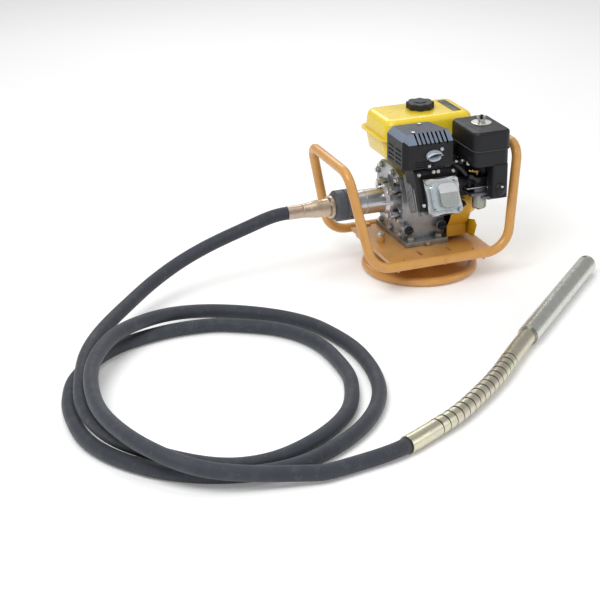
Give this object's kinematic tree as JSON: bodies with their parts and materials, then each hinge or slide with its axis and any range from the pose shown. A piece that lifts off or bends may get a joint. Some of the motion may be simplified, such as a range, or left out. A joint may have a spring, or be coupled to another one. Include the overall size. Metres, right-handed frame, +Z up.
{
  "type": "concrete vibrator",
  "caption": "Petrol-driven concrete vibrator: small horizontal-shaft engine in a tubular carrying frame on a swivel ring base, with a coiled drive hose ending in a steel poker.",
  "frame": {"origin": "centre of the swivel base ring at floor level", "axes": "+Z up; X along the engine crankshaft with the drive output and hose towards -X and the starter towards +X; the cylinder head and the poker lie towards -Y, the fuel tank towards +Y"},
  "size_m": [1.4139, 1.091, 0.407],
  "materials": {
    "frame_paint": "gloss",
    "shroud_paint": "gloss",
    "tank_paint": "gloss",
    "cast_alloy": "satin",
    "machined_alloy": "satin",
    "bright_steel": "satin",
    "zinc_steel": "satin",
    "black_steel": "satin",
    "outlet_steel": "polished",
    "heat_steel": "matte",
    "black_plastic": "matte",
    "grey_plastic": "matte",
    "filter_paper": "matte",
    "collar_steel": "satin",
    "yellow_zinc": "satin",
    "hose_rubber": "matte",
    "boot_rubber": "matte",
    "poker_steel": "satin",
    "lining": "matte",
    "porcelain": "gloss"
  },
  "bodies": {
    "machine": {"frame_tube": "frame_paint", "mounting_plate": "frame_paint", "cross_beams": "frame_paint", "hub_bracket": "frame_paint", "crankcase": "cast_alloy", "side_cover": "cast_alloy", "cover_bolts": "zinc_steel", "main_bearings": "bright_steel", "cylinder_head": "cast_alloy", "valve_cover": "cast_alloy", "valve_cover_bolts": "zinc_steel", "cylinder_shroud": "black_steel", "fan_shroud": "shroud_paint", "recoil_cover": "shroud_paint", "muffler_body": "heat_steel", "muffler_guard": "black_steel", "guard_screws": "zinc_steel", "exhaust_outlet": "outlet_steel", "air_base": "black_plastic", "filter_element": "filter_paper", "carburetor": "cast_alloy", "float_bowl": "cast_alloy", "fuel_tank": "tank_paint", "spark_plug": "porcelain", "drain_bolt": "zinc_steel", "mount_bolts": "zinc_steel", "adapter_housing": "machined_alloy", "adapter_bolts": "zinc_steel", "drum_bearings": "bright_steel", "hose_sleeve": "yellow_zinc", "hose": "hose_rubber", "spring_guard": "yellow_zinc", "poker_tube": "poker_steel", "poker_neck": "poker_steel", "poker_tip": "poker_steel", "poker_bearings": "bright_steel"},
    "swivel_base": {"base_ring": "frame_paint", "base_dish": "frame_paint", "pivot_pin": "bright_steel"},
    "crank_train": {"crankshaft": "bright_steel", "flywheel": "bright_steel", "clutch_hub": "bright_steel", "clutch_shoes": "lining", "clutch_spring": "bright_steel"},
    "drive_drum": {"clutch_drum": "bright_steel"},
    "vibrator_rotor": {"eccentric_rotor": "bright_steel"},
    "engine_piston": {"piston": "cast_alloy"},
    "hose_collar": {"coupling_collar": "collar_steel"},
    "starter_grip": {"recoil_handle": "black_plastic"},
    "starter_pulley": {"recoil_pulley": "grey_plastic"},
    "tank_cap": {"fuel_cap": "black_plastic"},
    "air_lid": {"air_cover": "black_plastic"},
    "lid_nut": {"wing_nut": "zinc_steel"},
    "oil_cap_left": {"oil_filler_cap": "black_plastic"},
    "oil_cap_right": {"oil_level_cap": "black_plastic"},
    "throttle": {"throttle_lever": "zinc_steel"},
    "choke": {"choke_lever": "zinc_steel"},
    "fuel_tap": {"fuel_tap_lever": "grey_plastic"},
    "switch_knob": {"stop_switch": "black_plastic"},
    "ignition_boot": {"plug_boot": "boot_rubber"}
  },
  "joints": [
    {"name": "base_swivel", "type": "hinge", "parent": "machine", "child": "swivel_base", "pos_m": [0, 0, 0.04], "axis": [0, 0, 1], "continuous": true},
    {"name": "crank_spin", "type": "hinge", "parent": "machine", "child": "crank_train", "pos_m": [0, 0.025, 0.184], "axis": [-1, 0, 0], "continuous": true},
    {"name": "drum_spin", "type": "hinge", "parent": "machine", "child": "drive_drum", "pos_m": [0, 0.025, 0.184], "axis": [-1, 0, 0], "continuous": true},
    {"name": "rotor_spin", "type": "hinge", "parent": "machine", "child": "vibrator_rotor", "pos_m": [0.027, -0.526, 0.024], "axis": [0.7248, 0.689, 0], "continuous": true},
    {"name": "piston_slide", "type": "slide", "parent": "machine", "child": "engine_piston", "axis": [0, -0.9063, 0.4226], "range_m": [0, 0.045]},
    {"name": "collar_turn", "type": "hinge", "parent": "machine", "child": "hose_collar", "pos_m": [0, 0.025, 0.184], "axis": [1, 0, 0], "range_deg": [0, 60]},
    {"name": "starter_pull", "type": "slide", "parent": "machine", "child": "starter_grip", "axis": [0, -0.6428, 0.766], "range_m": [0, 0.03]},
    {"name": "pulley_turn", "type": "hinge", "parent": "machine", "child": "starter_pulley", "pos_m": [0, 0.025, 0.184], "axis": [1, 0, 0], "range_deg": [0, 62]},
    {"name": "tank_cap_turn", "type": "hinge", "parent": "machine", "child": "tank_cap", "pos_m": [0.035, 0.084, 0.39], "axis": [0, 0, 1], "range_deg": [0, 90]},
    {"name": "air_lid_lift", "type": "slide", "parent": "machine", "child": "air_lid", "axis": [0, 0, 1], "range_m": [0, 0.05]},
    {"name": "lid_nut_turn", "type": "hinge", "parent": "air_lid", "child": "lid_nut", "pos_m": [0.121, -0.084, 0.39], "axis": [0, 0, 1], "continuous": true},
    {"name": "oil_cap_left_turn", "type": "hinge", "parent": "machine", "child": "oil_cap_left", "pos_m": [-0.05, -0.04, 0.119], "axis": [0, -1, 0], "range_deg": [0, 180]},
    {"name": "oil_cap_right_turn", "type": "hinge", "parent": "machine", "child": "oil_cap_right", "pos_m": [0.04, -0.04, 0.119], "axis": [0, -1, 0], "range_deg": [0, 180]},
    {"name": "throttle_swing", "type": "hinge", "parent": "machine", "child": "throttle", "pos_m": [0.084, -0.034, 0.27], "axis": [0, 0, 1], "range_deg": [-25, 25]},
    {"name": "choke_swing", "type": "hinge", "parent": "machine", "child": "choke", "pos_m": [0.096, -0.12, 0.256], "axis": [0, 1, 0], "range_deg": [0, 60]},
    {"name": "fuel_tap_swing", "type": "hinge", "parent": "machine", "child": "fuel_tap", "pos_m": [0.13, -0.12, 0.209], "axis": [0, -1, 0], "range_deg": [0, 90]},
    {"name": "stop_switch_turn", "type": "hinge", "parent": "machine", "child": "switch_knob", "pos_m": [0.074, -0.08, 0.186], "axis": [0, 1, 0], "range_deg": [0, 45]},
    {"name": "plug_boot_pull", "type": "slide", "parent": "machine", "child": "ignition_boot", "axis": [0.515, 0.3623, 0.7769], "range_m": [0, 0.014]}
  ],
  "couplings": [
    {"joint": "drum_spin", "follows": "rotor_spin", "ratio": 1},
    {"joint": "pulley_turn", "follows": "starter_pull", "rad_per_m": 35.714}
  ]
}
